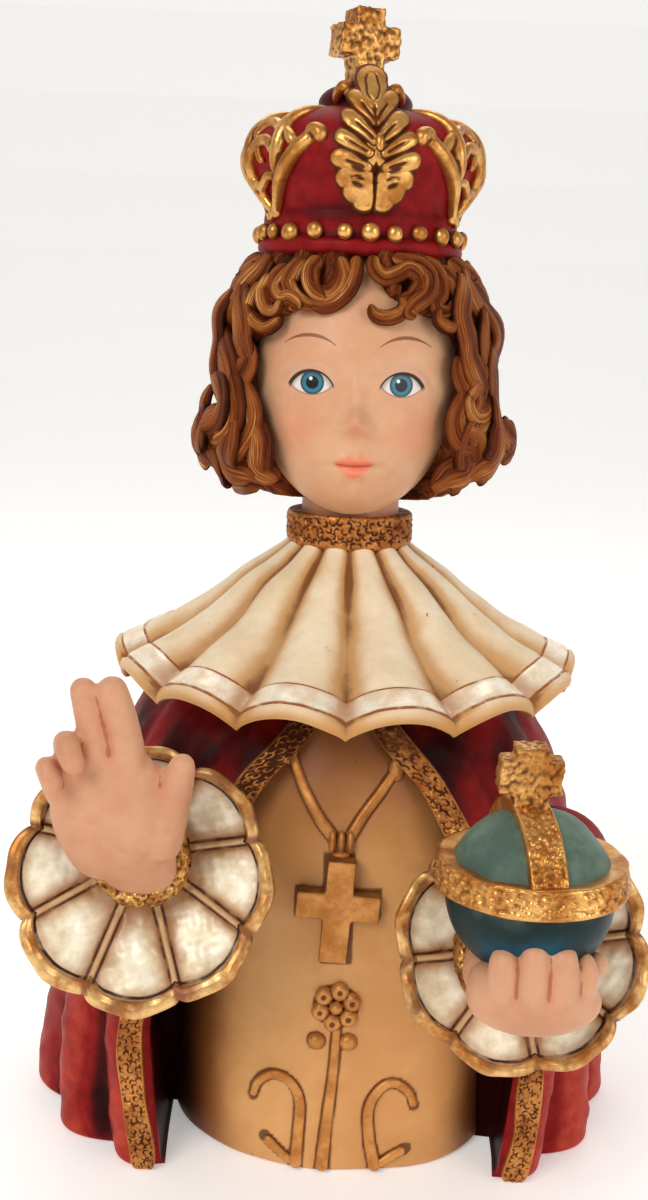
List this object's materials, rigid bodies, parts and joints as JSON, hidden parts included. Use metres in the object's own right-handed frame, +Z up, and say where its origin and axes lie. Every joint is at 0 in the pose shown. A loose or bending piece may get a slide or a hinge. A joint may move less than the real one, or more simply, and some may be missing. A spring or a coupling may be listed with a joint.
{
  "type": "infant of prague statue",
  "caption": "Cast resin figure of a crowned child to the knee, one hand raised and the other holding an orb, in a folded mantle and pleated collar, standing flat on its underside.",
  "frame": {"origin": "on the ground plane, on the underside, under the axis of the crown, neck and body", "axes": "+Z up, the figure looks along -Y, +X is on the viewer's right and is the side of the orb"},
  "size_m": [0.0842, 0.0946, 0.1509],
  "materials": {
    "resin": "painted and gilded cast resin, satin",
    "skin": "satin, translucent",
    "hair": "satin with light ridges",
    "crimson": "satin",
    "gold": "metallic paint with brown antiquing",
    "cream": "satin with amber stain in the grooves",
    "pearl": "pearlescent",
    "caramel": "satin",
    "teal": "satin"
  },
  "bodies": {
    "root": {"statue": "resin"}
  },
  "joints": []
}
